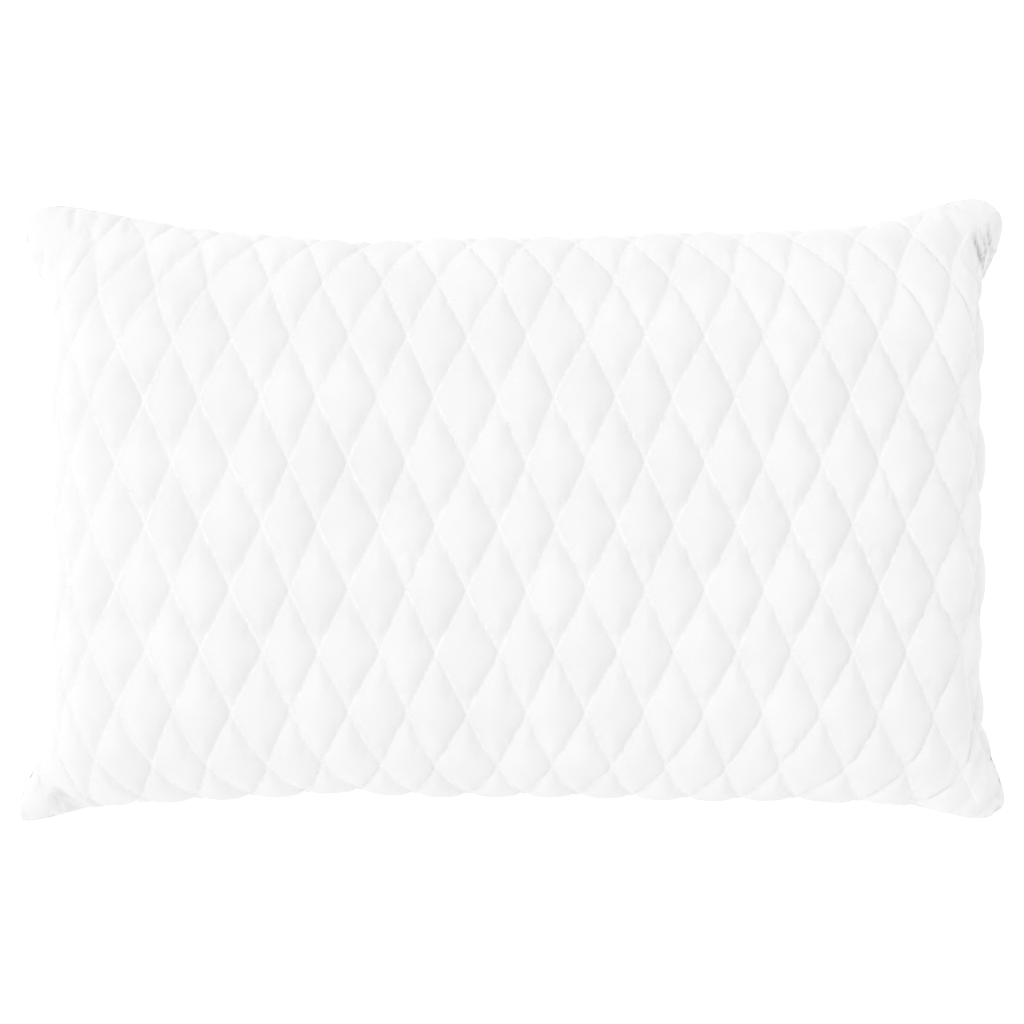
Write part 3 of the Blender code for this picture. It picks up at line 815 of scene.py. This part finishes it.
def woven_material(name, colour, roughness, pitch, slant, bump):
    """Twill tape or satin: slanted ribs crossed by a finer warp."""
    material = bpy.data.materials.new(name)
    tree, shader = nodes_of(material)
    links, make = tree.links, tree.nodes.new
    coords = make("ShaderNodeTexCoord")
    mapping = make("ShaderNodeMapping")
    mapping.inputs["Rotation"].default_value = (slant, 0, 0)
    links.new(coords.outputs["Object"], mapping.inputs["Vector"])
    heights = []
    for axis, size in (("Y", pitch), ("Z", pitch * 1.6)):
        wave = make("ShaderNodeTexWave")
        wave.wave_type, wave.bands_direction = "BANDS", axis
        wave.inputs["Scale"].default_value = 1 / (size * 20)
        wave.inputs["Distortion"].default_value = 0.6
        wave.inputs["Detail"].default_value = 1
        links.new(mapping.outputs["Vector"], wave.inputs["Vector"])
        heights.append(wave.outputs["Fac"])
    both = make("ShaderNodeMath")
    both.operation = "MULTIPLY"
    links.new(heights[0], both.inputs[0])
    links.new(heights[1], both.inputs[1])
    ramp = make("ShaderNodeValToRGB")
    ramp.color_ramp.elements[0].color = (*(c * 0.86 for c in colour), 1)
    ramp.color_ramp.elements[1].color = (*colour, 1)
    ramp.color_ramp.elements[1].position = 0.6
    links.new(both.outputs[0], ramp.inputs["Fac"])
    links.new(ramp.outputs["Color"], shader.inputs["Base Color"])
    relief = make("ShaderNodeBump")
    relief.inputs["Strength"].default_value = bump
    relief.inputs["Distance"].default_value = 0.15 * MM
    links.new(both.outputs[0], relief.inputs["Height"])
    links.new(relief.outputs["Normal"], shader.inputs["Normal"])
    shader.inputs["Roughness"].default_value = roughness
    shader.inputs["Sheen Weight"].default_value = 0.15
    return material


def dress(node, material, bevel):
    """Shows a CAD node with this material, its edges rounded."""
    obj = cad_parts[node]
    obj.data.materials.clear()
    obj.data.materials.append(material)
    if bevel:
        edge = obj.modifiers.new("rounding", "BEVEL")
        edge.width = bevel
        edge.segments = 2
        edge.limit_method = "ANGLE"
        edge.harden_normals = False


def build_pillow():
    fabric = knit_material("pillow_knit", (0.90, 0.90, 0.90), 0.9, 0.08, 1150, 0.35)
    thread = plain_material("quilting_thread", (0.99, 0.99, 0.99), 0.55, 0.0, 2500, 0.4, 0.3)
    tape = woven_material("zip_twill", (0.90, 0.90, 0.90), 0.8, 0.7 * MM, 0.7, 0.5)
    cotton = woven_material("case_cotton", (0.88, 0.87, 0.85), 0.85, 0.5 * MM, 0.0, 0.4)
    satin = woven_material("label_satin", (0.93, 0.93, 0.93), 0.5, 0.35 * MM, 0.0, 0.3)
    plastic = plain_material("zip_plastic", (0.90, 0.90, 0.90), 0.32, 0.0, 600, 0.1)
    metal = plain_material("zip_metal", (0.52, 0.52, 0.54), 0.3, 1.0, 900, 0.15)
    top = add_panel(
        "quilted_top",
        True,
        fabric,
        ["cover_top_fabric", "cover_top_wadding", "cover_top_backing"],
    )
    bottom = add_panel(
        "quilted_bottom",
        False,
        fabric,
        ["cover_bottom_fabric", "cover_bottom_wadding", "cover_bottom_backing"],
    )
    add_inner_case(cotton)
    size = (3.2 * MM, 0.7 * MM, 0.36 * MM)
    add_stitches("quilting_top", quilting_paths(*top), 3.2 * MM, size, 0.0, thread)
    add_stitches("quilting_bottom", quilting_paths(*bottom), 3.2 * MM, size, 0.0, thread)
    size = (2.1 * MM, 0.6 * MM, 0.6 * MM)
    add_stitches("seam_stitches", seam_paths(), 3.0 * MM, size, 0.2 * MM, thread, ["seam_thread"])
    add_stitches("zip_hem_stitches", zip_hem_paths(), 3.0 * MM, size, 0.0, thread)
    add_coil("zip_coil_upper", 1, plastic)
    add_coil("zip_coil_lower", -1, plastic)
    add_label(satin)
    for node in ("zip_tape_upper", "zip_tape_lower"):
        dress(node, tape, 0)
    for node in ("zip_top_stop_upper", "zip_top_stop_lower", "zip_bottom_stop"):
        dress(node, metal, 0.15 * MM)
    for node in ("zip_slider", "zip_pull"):
        dress(node, metal, 0.22 * MM)


def build_stage():
    scene = bpy.context.scene
    camera = bpy.data.cameras.new("camera")
    camera_object = bpy.data.objects.new("camera", camera)
    scene.collection.objects.link(camera_object)
    scene.camera = camera_object
    distance = 2.2
    camera.sensor_width = 36
    camera.lens = 36 * distance / (2 * TIP_X * 1.0415)
    camera_object.location = (-0.6 * MM, -1.5 * MM, SEAM + distance)
    camera_object.rotation_euler = (0, 0, 0)

    floor_mesh = bpy.data.meshes.new("floor")
    half = 6.0
    floor_mesh.from_pydata(
        [(-half, -half, 0), (half, -half, 0), (half, half, 0), (-half, half, 0)], [], [(0, 1, 2, 3)]
    )
    floor = bpy.data.objects.new("floor", floor_mesh)
    floor.location.z = -0.2 * MM
    scene.collection.objects.link(floor)
    floor_material = bpy.data.materials.new("floor")
    _, shader = nodes_of(floor_material)
    shader.inputs["Base Color"].default_value = (0.93, 0.93, 0.93, 1)
    shader.inputs["Roughness"].default_value = 0.9
    shader.inputs["Emission Color"].default_value = (1, 1, 1, 1)
    shader.inputs["Emission Strength"].default_value = 0.24
    floor_mesh.materials.append(floor_material)

    world = bpy.data.worlds.new("world")
    scene.world = world
    world.use_nodes = True
    back = world.node_tree.nodes["Background"]
    back.inputs["Color"].default_value = (1, 1, 1, 1)
    back.inputs["Strength"].default_value = 0.885

    sun = bpy.data.lights.new("window", "SUN")
    sun.energy = 0.62
    sun.angle = math.radians(24)
    sun_object = bpy.data.objects.new("window", sun)
    scene.collection.objects.link(sun_object)
    sun_object.rotation_euler = Vector((1, -0.22, -1.65)).to_track_quat("-Z", "Y").to_euler()
    scene.view_settings.view_transform = "Standard"
    scene.view_settings.look = "None"


build_stage()
build_pillow()
